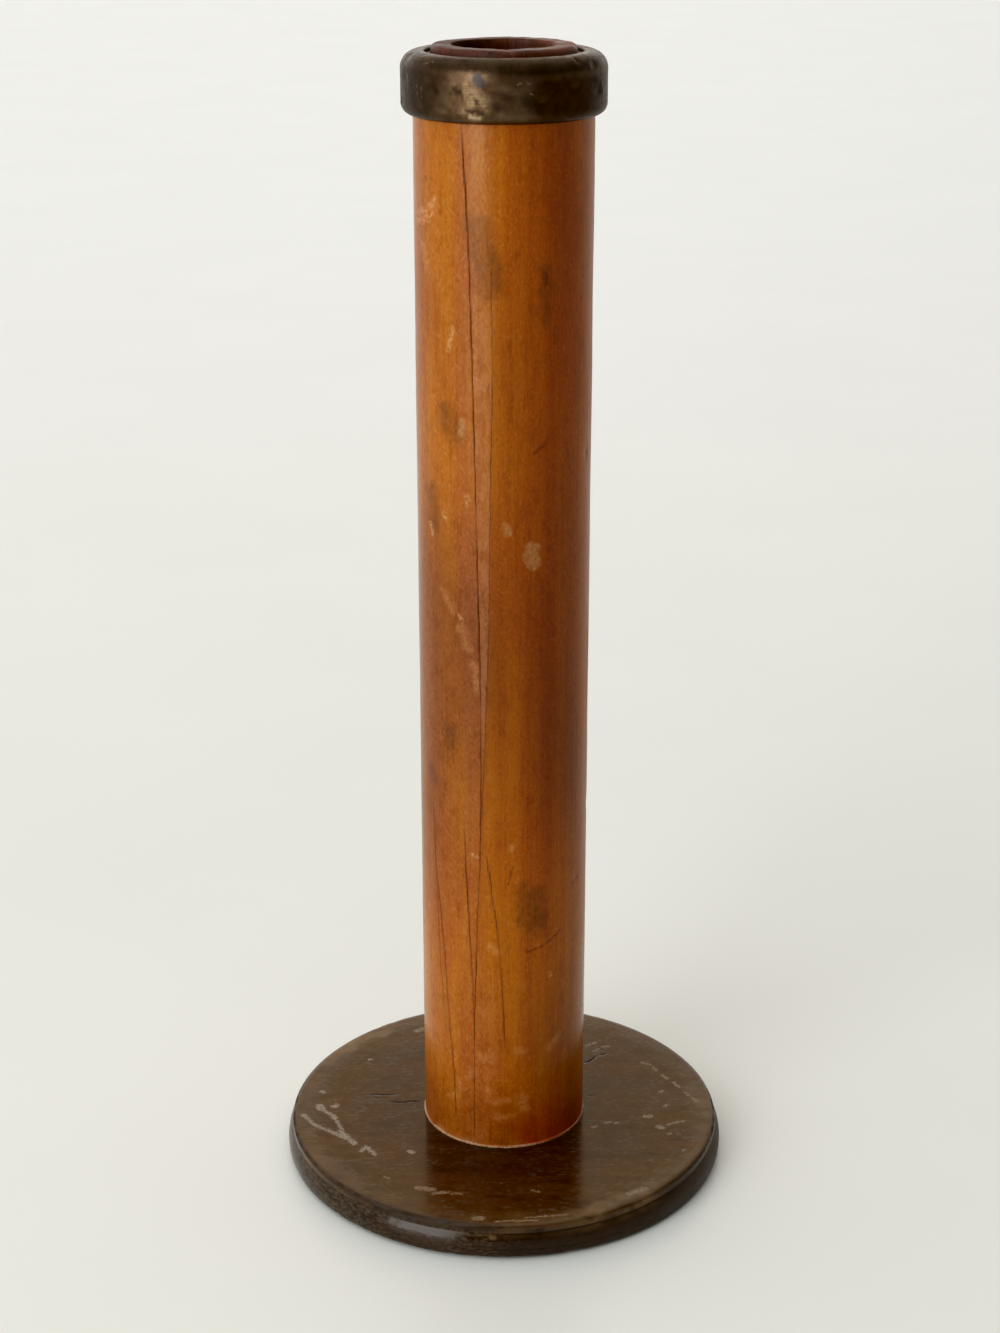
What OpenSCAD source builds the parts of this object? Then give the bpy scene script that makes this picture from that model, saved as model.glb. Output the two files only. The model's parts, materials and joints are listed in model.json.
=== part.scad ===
// Textile mill bobbin: a turned hardwood barrel on a three-ply head, with a spun brass collar round
// its tip and a bush at each end for the spindle. It stands on its head, with its axis on +Z.

/* [Overall] */
// Height from the underside of the head to the top of the tip bush
total_h = 279; // [200:1:320]

/* [Barrel] */
// Outside diameter of the barrel
barrel_d = 41; // [38:0.5:48]
// How much wider than the spindle bore the barrel is inside, on each side
bore_relief = 1.25; // [0.5:0.25:2]
// Width of the shoulder that the barrel stands on
shoulder_w = 2.5; // [1.5:0.25:3]
// How far the bead at the foot of the barrel stands proud
foot_bead = 0.3; // [0.2:0.1:1]
// Height of the bead at the foot of the barrel
foot_bead_h = 0.5; // [0.5:0.25:3]
// How far the end of the spigot lies above the underside of the head
spigot_recess = 0.5; // [0.25:0.25:2]

/* [Head] */
// Widest diameter of the head
head_d = 112.5; // [80:0.5:140]
// Thickness of the upper ply
top_ply_t = 2.4; // [2:0.1:5]
// Thickness of the middle ply
core_ply_t = 3.9; // [2:0.1:6]
// Thickness of the lower ply
base_ply_t = 2.9; // [2:0.1:6]
// How far the middle ply bulges past the lower one
rim_bulge = 0.5; // [0.2:0.1:0.9]
// How far the upper ply lies back from the widest part of the rim
top_ply_setback = 0.6; // [0.5:0.1:2]
// Radius worn on the edge of the upper ply
top_edge_round = 1.5; // [0.5:0.1:1.9]
// Radius on the bottom edge of the lower ply
base_edge_round = 1.2; // [0.5:0.1:1.8]

/* [Collar] */
// Height of the collar
collar_h = 13.9; // [10:0.1:24]
// How far the collar stands out from the barrel
collar_over = 2.75; // [2:0.05:4]
// Thickness of the collar's sheet
collar_t = 0.9; // [0.6:0.05:1.4]
// Outside radius of the collar's upper corner
collar_round = 3.8; // [2:0.1:5]
// Width of the gap between the collar's mouth and the tip bush
mouth_gap = 1.45; // [0.8:0.05:2]
// Radius on the edge of the collar's mouth
mouth_round = 0.4; // [0.1:0.05:0.5]

/* [Bushes] */
// Diameter of the spindle bore in both bushes
spindle_bore_d = 23.5; // [20:0.25:25]
// Wall of the tip bush
top_bush_wall = 4.65; // [3:0.05:5]
// Length of the tip bush
top_bush_len = 32; // [16:1:60]
// How far the tip bush stands above the collar
bush_stand = 1.3; // [0.5:0.1:4]
// Radius on the outer edge of the tip bush
bush_outer_round = 1.1; // [0.3:0.1:1.5]
// Radius on the inner edge of the tip bush
bush_inner_round = 0.9; // [0.3:0.1:1.4]
// Wall of the foot bush
foot_bush_wall = 2.75; // [2.25:0.05:3.25]
// Length of the foot bush
foot_bush_len = 32; // [16:1:60]

/* [Fits] */
// Radial glue gap round every bush and spigot, and under the collar
glue_gap = 0.05; // [0.02:0.01:0.15]

/* [Hidden] */
$fn = 128;

// Radii, worked out from the axis outwards
spindle_r = spindle_bore_d / 2;
bore_r = spindle_r + bore_relief;
foot_bush_r = spindle_r + foot_bush_wall;
top_bush_r = spindle_r + top_bush_wall;
mouth_r = top_bush_r + mouth_gap;
barrel_r = barrel_d / 2;
spigot_r = barrel_r - shoulder_w;
collar_r = barrel_r + collar_over;
head_r = head_d / 2;
ply_hole_r = spigot_r + glue_gap;
tip_r = collar_r - collar_t - glue_gap;

// Heights, worked out from the underside of the head upwards
core_z = base_ply_t;
top_ply_z = core_z + core_ply_t;
head_t = top_ply_z + top_ply_t;
foot_bush_top = spigot_recess + foot_bush_len;
collar_top = total_h - bush_stand;
collar_z = collar_top - collar_h;
tip_z = collar_z + collar_t + glue_gap;
tip_top = collar_top - collar_t - glue_gap;
top_bush_z = total_h - top_bush_len;

// How far a cutting shape reaches past what it cuts
over = total_h;

// Half section of a plain ring, with the radius along X and the height along Y
module ring(r_in, r_out, z_low, z_high) {
    translate([r_in, z_low]) square([r_out - r_in, z_high - z_low]);
}

// What a quarter round takes off the corner at radius r and height z.
// side is 1 on an outer corner and -1 on an inner one, up is 1 on an upper corner and -1 on a lower one.
module corner_cut(r, z, radius, side, up) {
    reach = radius * 2;
    translate([r - side * radius, z - up * radius])
        difference() {
            translate([side > 0 ? 0 : -reach, up > 0 ? 0 : -reach]) square(reach);
            circle(radius);
        }
}

module barrel_section() {
    foot_z = head_t;
    tip_low_round = collar_over - collar_t - glue_gap;
    tip_high_round = collar_round - collar_t - glue_gap;
    difference() {
        union() {
            ring(bore_r, spigot_r, spigot_recess, foot_z);
            ring(bore_r, barrel_r, foot_z, tip_top - tip_high_round);
            foot_bead_section();
            difference() {
                ring(bore_r, tip_r, tip_z, tip_top);
                corner_cut(tip_r, tip_top, tip_high_round, 1, 1);
                corner_cut(tip_r, tip_z, tip_low_round, 1, -1);
            }
        }
        ring(0, foot_bush_r + glue_gap, -over, foot_bush_top);
        ring(0, top_bush_r + glue_gap, top_bush_z, total_h + over);
    }
}

module foot_bead_section() {
    bead_r = barrel_r + foot_bead;
    bead_top = head_t + foot_bead_h;
    difference() {
        ring(bore_r, bead_r, head_t, bead_top);
        corner_cut(bead_r, bead_top, min(foot_bead, foot_bead_h), 1, 1);
    }
}

module barrel() {
    color("#b06a2c") rotate_extrude() barrel_section();
}

module flange_top_ply() {
    edge_r = head_r - top_ply_setback;
    color("#5a3b22")
        rotate_extrude()
            difference() {
                ring(ply_hole_r, edge_r, top_ply_z, head_t);
                corner_cut(edge_r, head_t, top_edge_round, 1, 1);
            }
}

module flange_core_ply() {
    edge_r = head_r - rim_bulge;
    half_t = core_ply_t / 2;
    bulge_r = (half_t * half_t + rim_bulge * rim_bulge) / (2 * rim_bulge);
    color("#4a3526")
        rotate_extrude()
            union() {
                ring(ply_hole_r, edge_r, core_z, top_ply_z);
                intersection() {
                    ring(ply_hole_r, head_r, core_z, top_ply_z);
                    translate([head_r - bulge_r, core_z + half_t]) circle(bulge_r);
                }
            }
}

module flange_base_ply() {
    edge_r = head_r - rim_bulge;
    color("#453022")
        rotate_extrude()
            difference() {
                ring(ply_hole_r, edge_r, 0, core_z);
                corner_cut(edge_r, 0, base_edge_round, 1, -1);
            }
}

module top_collar() {
    inside_r = collar_r - collar_t;
    lip_r = barrel_r + glue_gap;
    color("#5b4c30")
        rotate_extrude()
            difference() {
                ring(mouth_r, collar_r, collar_z, collar_top);
                corner_cut(collar_r, collar_top, collar_round, 1, 1);
                corner_cut(collar_r, collar_z, collar_over, 1, -1);
                corner_cut(mouth_r, collar_top, mouth_round, -1, 1);
                difference() {
                    ring(0, inside_r, collar_z + collar_t, collar_top - collar_t);
                    corner_cut(inside_r, collar_top - collar_t, collar_round - collar_t, 1, 1);
                    corner_cut(inside_r, collar_z + collar_t, collar_over - collar_t, 1, -1);
                }
                ring(0, lip_r, collar_z - over, collar_z + collar_h / 2);
            }
}

module top_bush() {
    color("#6e3226")
        rotate_extrude()
            difference() {
                ring(spindle_r, top_bush_r, top_bush_z, total_h);
                corner_cut(top_bush_r, total_h, bush_outer_round, 1, 1);
                corner_cut(spindle_r, total_h, bush_inner_round, -1, 1);
            }
}

module bottom_bush() {
    color("#6e3226")
        rotate_extrude()
            ring(spindle_r, foot_bush_r, spigot_recess, foot_bush_top);
}

barrel();
flange_top_ply();
flange_core_ply();
flange_base_ply();
top_collar();
top_bush();
bottom_bush();
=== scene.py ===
"""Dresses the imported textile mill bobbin: worn wood, tarnished brass, floor, light and camera.

Shapes are written in millimetres and go into the meshes in metres. A place on a turned piece is given by
its azimuth, in degrees from the front (-Y) towards the right (+X), and its height above the floor.
"""

import json
import math

import bpy
import numpy as np
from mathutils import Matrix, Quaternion, Vector


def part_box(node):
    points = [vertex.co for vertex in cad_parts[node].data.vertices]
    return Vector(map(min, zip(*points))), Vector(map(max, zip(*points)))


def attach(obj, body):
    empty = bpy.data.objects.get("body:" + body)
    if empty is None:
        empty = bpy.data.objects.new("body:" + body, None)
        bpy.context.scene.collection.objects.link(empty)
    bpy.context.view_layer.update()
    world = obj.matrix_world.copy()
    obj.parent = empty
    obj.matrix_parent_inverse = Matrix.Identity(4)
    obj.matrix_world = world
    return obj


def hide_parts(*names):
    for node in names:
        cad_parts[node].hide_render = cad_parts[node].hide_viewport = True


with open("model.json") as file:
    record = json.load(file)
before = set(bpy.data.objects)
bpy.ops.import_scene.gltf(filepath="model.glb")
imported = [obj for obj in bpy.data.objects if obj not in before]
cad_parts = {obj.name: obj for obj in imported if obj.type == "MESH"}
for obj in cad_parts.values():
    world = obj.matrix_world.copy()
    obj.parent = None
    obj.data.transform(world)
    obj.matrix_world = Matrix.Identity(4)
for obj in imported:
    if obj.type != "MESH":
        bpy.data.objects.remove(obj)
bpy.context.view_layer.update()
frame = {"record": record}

MM = 0.001
DEG = math.pi / 180


# Sizes

def turned_size(node):
    """Radius, lowest and highest height of a turned CAD node, in millimetres."""
    low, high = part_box(node)
    return high.x / MM, low.z / MM, high.z / MM


TIP_R, SPIGOT_Z, TIP_TOP = turned_size("barrel")
TOP_PLY_R, TOP_PLY_Z, HEAD_TOP = turned_size("flange_top_ply")
HEAD_R, CORE_Z, CORE_TOP = turned_size("flange_core_ply")
BASE_PLY_R, BASE_Z, BASE_TOP = turned_size("flange_base_ply")
COLLAR_R, COLLAR_Z, COLLAR_TOP = turned_size("top_collar")
TOP_BUSH_R, TOP_BUSH_Z, TOP_BUSH_TOP = turned_size("top_bush")
FOOT_BUSH_R, FOOT_BUSH_Z, FOOT_BUSH_TOP = turned_size("bottom_bush")
SPINDLE_R = frame["record"]["mounts"][0]["dims"]["r_mm"]

# Sizes of the CAD that no node's box gives
BARREL_R = 20.5
BORE_R = 13.0
SPIGOT_R = 18.0
GLUE_GAP = 0.05
SHEET = 0.9
MOUTH_R = 17.85
FOOT_BEAD = 0.3
FOOT_BEAD_H = 0.5
TIP_Z = COLLAR_Z + SHEET + GLUE_GAP
PLY_HOLE_R = SPIGOT_R + GLUE_GAP

# Roundings of worn edges
TIP_ROUND = 2.8
TOP_PLY_ROUND = 1.2
COLLAR_ROUND = 3.8
COLLAR_FOOT_ROUND = 2.6
MOUTH_ROUND = 0.4
LIP_OUTER_ROUND = 1.1
LIP_INNER_ROUND = 0.3

# Worn rim of the head: height of its widest place, how far it draws in above it, below it and at its
# foot, how far the top ply's edge leans in, and the rows of points on each of the other plies
RIM_MIDDLE = 3.4
RIM_SHOULDER = 1.15
RIM_TAPER = 0.3
RIM_FOOT = 1.9
RIM_SLANT = 0.15
RIM_ROWS = 14

# Angle in degrees from which an edge is drawn sharp, and the longest step along a rounding
CRISP = 50
ARC_STEP = 0.45

# Cracks along the barrel: half width, depth, darkness, and the path as (azimuth, height) from the top down
CRACKS = [
    (0.18, 0.3, 1.0, [(-27.5, 264.5), (-24.3, 249), (-22.2, 234), (-20.7, 215), (-20.2, 208)]),
    (0.15, 0.22, 0.85, [(-20.7, 216), (-18.9, 189), (-17.3, 162), (-15.8, 138), (-15.4, 110), (-16.3, 88),
                      (-18.2, 76), (-19.4, 60), (-21, 45), (-21.4, 10)]),
    (0.13, 0.16, 0.75, [(-7.7, 233), (-7.1, 206), (-8.4, 184), (-9.8, 147), (-11.9, 126), (-14.1, 107),
                       (-15.5, 96)]),
    (0.15, 0.22, 0.9, [(-12.8, 92), (-9.4, 84), (-7.3, 77.5), (-3.9, 69), (-1.8, 58), (0, 46), (1, 37)]),
    (0.16, 0.24, 1.0, [(-27.9, 99), (-26.6, 85), (-24.5, 71), (-22.4, 57), (-21, 45)]),
    (0.15, 0.22, 0.95, [(-56, 101), (-54.3, 84), (-50.1, 74), (-45.2, 60), (-41.8, 43), (-38.4, 31),
                      (-37, 22), (-36.4, 13)]),
    (0.13, 0.16, 0.6, [(-57.2, 104), (-54.3, 84), (-51.5, 66), (-48.6, 53), (-44, 35)]),
    (0.11, 0.16, 0.7, [(-34.5, 19), (-35.2, 9)]),
    (0.17, 0.3, 0.9, [(97, 266), (99, 231), (98, 190), (101, 151), (103.5, 118)]),
    (0.12, 0.2, 0.7, [(101.2, 150), (97, 121), (95, 93)]),
    (0.15, 0.26, 0.8, [(173, 192), (171.5, 150), (167.5, 96), (168, 48), (166.5, 9)]),
    (0.13, 0.22, 0.8, [(-121, 243), (-119, 205), (-114.5, 160)]),
    (0.11, 0.18, 0.6, [(-113, 88), (-117, 52), (-116, 24)]),
]
CRACK_ZONES = [(-60, 3), (93, 106), (164, 175), (-123, -112)]

# Shallow dents in the barrel: azimuth, height, radius, depth
BARREL_DENTS = [
    (-53, 244, 3.0, 0.16), (-35.8, 216, 2.2, 0.14), (1.8, 172.6, 1.7, 0.12), (18.3, 166, 3.2, 0.10),
    (-55, 170, 2.4, 0.14), (33.3, 56.7, 1.5, 0.12), (60, 79.5, 1.8, 0.22), (68, 187, 2.0, 0.25),
    (-39, 119.5, 2.0, 0.10), (22, 75, 4.5, 0.08), (88, 96, 2.6, 0.16), (131, 58, 3.2, 0.14),
    (152, 214, 2.4, 0.18), (-168, 128, 3.0, 0.12), (-140, 72, 2.2, 0.2), (-98, 206, 2.8, 0.14),
]

# Marks on the barrel as strokes: azimuth and height of both ends, half width
PALE_MARKS = [
    (-72, 240.8, -66, 241.5, 0.6), (-68, 242.8, -62, 243.6, 0.8), (-62, 241.2, -57, 242.8, 0.6),
    (-58, 243.8, -52, 245.8, 0.8), (-56, 241.8, -51, 243.6, 0.5), (-50.5, 245.4, -48.6, 247, 0.5),
    (-34.2, 218.6, -36.4, 215.6, 0.6), (-36.6, 215.2, -37.6, 213.4, 0.5), (-57, 171.2, -55, 169.4, 0.6),
    (-43, 175, -41.4, 174, 0.5), (-22, 90.3, -18.4, 89.7, 0.28), (33, 56.9, 33.8, 56.4, 0.5),
    (-65, 72, -64.6, 71.4, 0.5), (-24.4, 180, -23.8, 178, 0.5), (-30, 151, -28.8, 149.6, 0.4),
    (100, 171, 104, 175, 0.6), (140, 92, 146, 90, 0.7), (-160, 223, -157, 218, 0.6),
    (-92, 131, -90, 128, 0.6),
]
DULL_MARKS = [
    (17.2, 168.2, 20.4, 167.8, 1.3), (17.6, 166.4, 19.4, 164.4, 1.9), (1, 173.4, 2.4, 171.9, 1.0),
    (-27.5, 197.4, -28.6, 194.6, 0.8), (4.5, 93, 5.2, 92, 0.5), (120, 36, 123, 31, 1.6),
    (-135, 187, -131, 182, 1.8), (176, 68, 179, 62, 1.5), (77, 142, 80, 137, 1.2),
]
SMUDGES = [
    (12.4, 23.2, 13.8, 20.4, 1.6), (-15, 25.7, -11, 25.3, 0.5), (-16, 35.2, -11, 34.6, 0.8),
    (9, 36.8, 14, 36.9, 0.5), (33, 35.9, 43, 38.9, 0.5), (-26, 28.5, -22, 30.4, 0.8),
    (-11, 22.6, 4, 22.9, 0.5), (-5, 18, 6, 18.4, 0.6), (-42, 21, -35, 22.4, 0.7), (-34, 27, -31, 24, 0.6),
    (-10, 66, -4, 64.4, 0.6), (-62, 236, -58, 231, 1.0), (-30, 148, -24, 143, 0.9),
    (-20, 139, -17, 133, 0.7), (-44, 156, -37, 152, 0.8), (104, 40, 117, 42, 0.6),
    (150, 180, 158, 176, 0.9), (-100, 150, -92, 146, 0.8), (-164, 60, -150, 58, 0.7),
]
DARK_MARKS = [
    (-16, 241, -8, 228.5, 3.2), (26, 231.5, 27, 221, 1.0), (28, 230, 29.5, 228.5, 0.9),
    (-40, 199.5, -34, 194, 2.4), (-55.5, 180, -52, 171, 1.6), (-39.6, 121, -38, 118, 1.4),
    (21, 79, 22.5, 71.5, 3.4), (27, 74.5, 28.5, 71, 1.6), (12.6, 72, 11.8, 82, 0.4),
    (-58, 108.6, -57.4, 107, 0.8), (96, 62, 99, 55, 2.4), (147, 160, 150, 150, 2.0),
    (-105, 110, -101, 103, 2.2), (-151, 32, -147, 26, 2.6),
]
DARK_SCRATCHES = [
    (16.3, 64.2, 29, 65.2, 0.24), (29, 65.2, 42.8, 68, 0.26), (19.5, 190.4, 27, 192.3, 0.35),
    (59.2, 229.4, 59.8, 228.8, 0.3), (55, 79, 62, 79.8, 0.4), (68.6, 188, 70.5, 186.6, 0.5),
    (3, 83, 6, 87.4, 0.16), (-64, 222.4, -63.6, 221.8, 0.3), (26.2, 231, 27.2, 229.2, 0.7),
    (-57, 251.4, -56.6, 250.8, 0.3), (118, 210, 134, 206, 0.18), (-150, 152, -141, 158, 0.18),
    (92, 22, 106, 26, 0.2), (-84, 44, -78, 40, 0.2),
]

# Paint splashes and scuffs on the head's top, as strokes between (x, y) points with a half width
HEAD_PAINT = [
    (-48.1, -0.6, -47.6, -1.6, 1.0), (-47.6, -1.6, -44.4, -5.4, 0.42), (-44.4, -0.6, -43.9, -0.2, 0.8),
    (-44.4, -5.4, -43.9, -6.2, 0.7), (-43.9, -6.2, -41.4, -12.4, 0.32), (-52.2, -4.8, -51.6, -5.4, 0.62),
    (-51.6, -5.4, -49, -9.5, 0.34), (-49, -9.5, -45.4, -12.3, 0.4), (-45.4, -12.3, -42.4, -14.6, 0.55),
    (-42, -13.2, -40, -15.6, 0.8), (-40, -15.6, -38, -18.6, 0.75), (-42.4, -14.6, -38.6, -17.6, 0.55),
    (-35.9, -21.9, -34.9, -20.2, 0.5), (-34.9, -20.2, -32.6, -23.6, 0.55),
    (-23.9, -22.3, -23.2, -22.7, 0.7), (-36.6, 23.7, -35.6, 23.6, 0.1), (-48.2, 6.9, -47.7, 6.5, 0.5),
]
HEAD_SPECKS = [
    (23.1, -10.6, 23.5, -10.4, 0.42), (26.5, -8.5, 27.3, -8.3, 0.56), (28.8, -8.7, 29.4, -8.6, 0.28),
    (36.9, -5.5, 37.9, -5.3, 0.75), (39.5, -10.5, 40.7, -11.1, 0.72), (42.1, -14.1, 42.4, -13.9, 0.4),
    (42.1, -0.2, 42.4, 0, 0.42), (41.4, 6.8, 41.7, 7.3, 0.5), (45.4, -21.5, 45.6, -21.4, 0.36),
    (37.4, 22.2, 39.4, 21, 0.5), (40.2, 19.6, 41, 18, 0.36), (42.3, 15.4, 43.6, 13.8, 0.3),
    (45.2, 11.6, 46.4, 9.4, 0.45), (48, 6.4, 48.6, 5.2, 0.26), (49.6, 3.6, 50.6, 2.2, 0.32),
    (42.1, -9.6, 46.9, -7.5, 0.16), (24.5, 28.4, 26, 29.4, 0.4), (27, 30.4, 28.6, 31.2, 0.35),
    (22.4, 31, 23.4, 31.8, 0.35), (24.4, 32.4, 25.2, 33, 0.3), (-21.2, -38.9, -17.4, -39.6, 0.8),
    (-17.4, -41.4, -13.6, -40.6, 0.45), (-12.6, -41.3, -10.4, -41.5, 0.45), (-2, -53.4, 8, -52.8, 0.1),
    (5, -51.9, 15, -50.4, 0.1), (-7, -52, -5.4, -52, 0.8), (-29.5, -34, -28.7, -34.4, 0.36),
    (7, -40, 8.6, -40.6, 0.3), (30.8, -41.4, 34.6, -39.2, 0.8), (18, 44, 22, 46, 0.6),
    (-20, 42, -24, 39.6, 0.8), (4, 39, 4.6, 39.4, 0.7),
]
# Checks in the head's top ply, as (x, y) ends, half width and depth
HEAD_CHECKS = [
    (-36.8, 5.2, -27.4, 5.5, 0.26, 0.2), (-40.6, 3.4, -37.4, 3.4, 0.24, 0.15),
    (-30.8, 1.4, -20.9, 2.2, 0.34, 0.25), (-36, 4.1, -30.6, 3.4, 0.2, 0.12),
    (21.4, 21.3, 25.8, 26, 0.36, 0.25), (25.2, 25.6, 28.8, 27.7, 0.32, 0.22),
    (24.4, 27.9, 28.4, 30.2, 0.24, 0.15), (20.9, 5, 25.6, 4.8, 0.2, 0.12), (-3, 33, 9, 34.4, 0.2, 0.2),
]
CHECK_ZONES = [(-103, -90), (98, 107), (131, 144), (160, 186)]

# Bare and dark places on the collar, as strokes in azimuth and height. The bare strokes at the front, from
# azimuth -21.5 to -11, are also a painted highlight where the window reflects, and COLLAR_GLINT is a painted
# highlight on the lip.
COLLAR_BARE_AND_HIGHLIGHT = [
    (-20, 272.6, -17, 268.4, 0.8), (-18, 273.6, -12, 273.8, 0.7), (-17, 270.6, -11, 268.8, 1.4),
    (-21.5, 266.8, -19.5, 266, 0.4), (-19.5, 265.6, -13, 265.4, 0.6), (110, 271, 119, 269.4, 1.2),
    (163, 268, 172, 267, 0.9), (-128, 272.4, -118, 273.2, 1.0),
]
COLLAR_DARK = [
    (-27, 271.6, -24, 270.6, 0.6), (-15, 269, -14.4, 268.6, 0.6), (-20, 266.9, -12, 266.7, 0.35),
    (-41, 271.6, -39, 270.8, 0.5), (12, 269, 20, 267.4, 1.2), (-6, 268.4, -3, 267.8, 0.7),
    (60, 272, 66, 270, 1.2), (138, 274, 148, 272, 1.2), (-92, 268.6, -80, 267, 1.1),
    (-170, 273, -160, 272, 1.0),
]
COLLAR_SCRATCHES = [
    (-55, 271.4, -54.6, 268.6, 0.2), (-51, 271, -50.6, 268.8, 0.16), (-52, 276, -44, 276.6, 0.14),
    (7.2, 272.6, 9.4, 273, 0.26), (11.4, 273, 14, 272.6, 0.24), (14, 270.6, 15, 270.2, 0.2),
    (70, 269, 83, 271, 0.12), (-120, 270, -101, 268.4, 0.12), (150, 271.5, 169, 270.4, 0.12),
]
COLLAR_SPOT = [(-14.4, 273.8, -12.8, 273, 1.1)]
COLLAR_GLINT = [(-18.4, 265.6, -13.6, 265.3, 0.4)]


# Meshes

def unit(vectors):
    """Rows of an array scaled to length one."""
    return vectors / np.maximum(np.linalg.norm(vectors, axis=1, keepdims=True), 1e-9)


def corner_arc(corner, back, ahead, radius):
    """Points round a corner of the given radius, between the runs back and ahead."""
    if radius == 0:
        return [corner]
    back, ahead = unit(np.array((back, ahead)))
    half = math.acos(float(back @ ahead)) / 2
    middle = back + ahead
    centre = corner + middle / np.linalg.norm(middle) * radius / math.sin(half)
    start = corner + back * radius / math.tan(half) - centre
    end = corner + ahead * radius / math.tan(half) - centre
    first = math.atan2(start[1], start[0])
    sweep = (math.atan2(end[1], end[0]) - first + math.pi) % (2 * math.pi) - math.pi
    steps = max(3, math.ceil(abs(sweep) * radius / ARC_STEP))
    angles = first + sweep * np.linspace(0, 1, steps + 1)
    return list(centre + radius * np.stack((np.cos(angles), np.sin(angles)), 1))


def outline(corners):
    """Closed half section through corners: radius, height, rounding, and longest step to the next corner."""
    spots = [np.array(c[:2], float) for c in corners]
    arcs = []
    for i, corner in enumerate(corners):
        ahead = spots[(i + 1) % len(spots)]
        arcs.append(corner_arc(spots[i], spots[i - 1] - spots[i], ahead - spots[i], corner[2]))
    points = []
    for i, arc in enumerate(arcs):
        run = arcs[(i + 1) % len(arcs)][0] - arc[-1]
        cuts = int(np.linalg.norm(run) / corners[i][3])
        points += arc + [arc[-1] + run * k / (cuts + 1) for k in range(1, cuts + 1)]
    points = np.array(points)
    return points[np.linalg.norm(points - np.roll(points, 1, 0), axis=1) > 1e-3]


def turns(coarse, fine=0.0, zones=()):
    """Azimuths once round, with finer steps inside the given zones."""
    azimuths = []
    here = -180.0
    while here < 180 - coarse / 3:
        azimuths.append(here)
        inside = any(low <= (here + 360 * wrap) <= high for low, high in zones for wrap in (0, 1))
        here += fine if inside else coarse
    return np.array(azimuths)


def revolve(name, section, azimuths, wear):
    """Closed mesh of a half section turned round the axis and worn.

    wear(az, r, z, out, up) gives the move along the normal and the values that the material reads.
    """
    after = unit(np.roll(section, -1, 0) - section)
    before = unit(section - np.roll(section, 1, 0))
    along = unit(after + before)
    az = np.tile(azimuths, (len(section), 1))
    r, z, out, up = (column[:, None] + 0 * az for column in (*section.T, along[:, 1], -along[:, 0]))
    move, values = wear(az, r, z, out, up)
    places = np.stack((*flat_place(az, r + move * out), z + move * up), 2)
    rows, columns = az.shape
    index = np.arange(rows * columns).reshape(rows, columns)
    beside = np.roll(index, -1, 1)
    quads = np.stack((index, beside, np.roll(beside, -1, 0), np.roll(index, -1, 0)), 2)
    mesh = bpy.data.meshes.new(name)
    mesh.from_pydata((places.reshape(-1, 3) * MM).tolist(), [], quads.reshape(-1, 4).tolist())
    mesh.shade_smooth()
    mesh.set_sharp_from_angle(angle=CRISP * DEG)
    for value, amounts in values.items():
        layer = mesh.attributes.new(value, "FLOAT", "POINT")
        layer.data.foreach_set("value", amounts.astype(np.float32).ravel())
    piece = bpy.data.objects.new(name, mesh)
    bpy.context.scene.collection.objects.link(piece)
    return piece


def dress(piece, node, material):
    """Puts a piece in its CAD node's place, with its material."""
    piece.data.materials.append(material)
    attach(piece, "root")
    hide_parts(node)


def smooth(low, high, value):
    """Smooth step from 0 at low to 1 at high."""
    t = np.clip((value - low) / (high - low), 0, 1)
    return t * t * (3 - 2 * t)


def bell(value, middle, width):
    """Smooth bump of height 1 round a middle value."""
    return np.exp(-((value - middle) / width) ** 2)


def uneven(seed, sizes, az, r, z):
    """Seeded smooth noise of about -1 to 1: sine waves of the given lengths in random directions."""
    rng = np.random.default_rng(seed)
    x, y = flat_place(az, r)
    total = np.zeros_like(x)
    for size in np.repeat(sizes, 4):
        way = rng.normal(size=3)
        way *= 2 * math.pi / size / np.linalg.norm(way)
        total += np.sin(way[0] * x + way[1] * y + way[2] * z + rng.uniform(0, 2 * math.pi))
    return total / (2.2 * math.sqrt(len(sizes)))


def flat_place(az, r):
    """X and Y of points given by azimuth and radius."""
    return r * np.sin(az * DEG), -r * np.cos(az * DEG)


def crack_line(path, z):
    """Azimuth of one of the cracks at a height."""
    azimuths, heights = zip(*reversed(path))
    return np.interp(z, heights, azimuths)


def scuffs_and_painted_sheen(az, z):
    """Pinkish fine scuffs and a painted sheen where the window's reflection falls, strongest between the two
    long cracks at the front.
    """
    left = crack_line(CRACKS[1][3], z)
    right = crack_line(CRACKS[2][3], z)
    soft = 0.7 + 9 * smooth(205, 245, z)
    between = smooth(left - 0.5, left + 0.5, az) * smooth(right + soft, right - soft, az)
    between *= smooth(96, 130, z) * (1 - 0.35 * smooth(205, 245, z))
    beside = smooth(-84, -62, az) * smooth(left + 0.5, left - 0.5, az)
    below = smooth(-34, -26, az) * smooth(2, -8, az) * smooth(70, 40, z)
    return np.maximum(between, np.maximum(0.35 * beside, 0.4 * below))


def crack_wear(az, z):
    """Depth and darkness of the barrel's cracks, and the dirt beside them."""
    depth, dark, dirt = np.zeros((3, *az.shape))
    for number, (half_width, deep, black, path) in enumerate(CRACKS):
        high, low = path[0][1], path[-1][1]
        wander = 0.06 * np.sin(z * 0.7 + number) + 0.04 * np.sin(z * 1.9 + 2 * number)
        across = np.abs((az - crack_line(path, z)) * DEG * BARREL_R + wander)
        ends = smooth(low - 0.5, low + 6, z) * smooth(high + 0.5, high - 6, z)
        swell = 0.8 + 0.2 * np.sin(z * 0.13 + number) + 0.12 * np.sin(z * 0.41 + 3 * number)
        width = half_width * swell * (0.35 + 0.65 * ends)
        inside = (z > low) & (z < high)
        line = np.clip(1 - across / width, 0, 1) * inside
        depth = np.maximum(depth, deep * swell * ends * line)
        dark = np.maximum(dark, black * np.clip(1.8 * line, 0, 1) * (0.35 + 0.65 * ends))
        dirt = np.maximum(dirt, 0.6 * black * bell(across, 0, 2.4 * half_width) * inside * ends)
    return depth, dark, dirt


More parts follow.
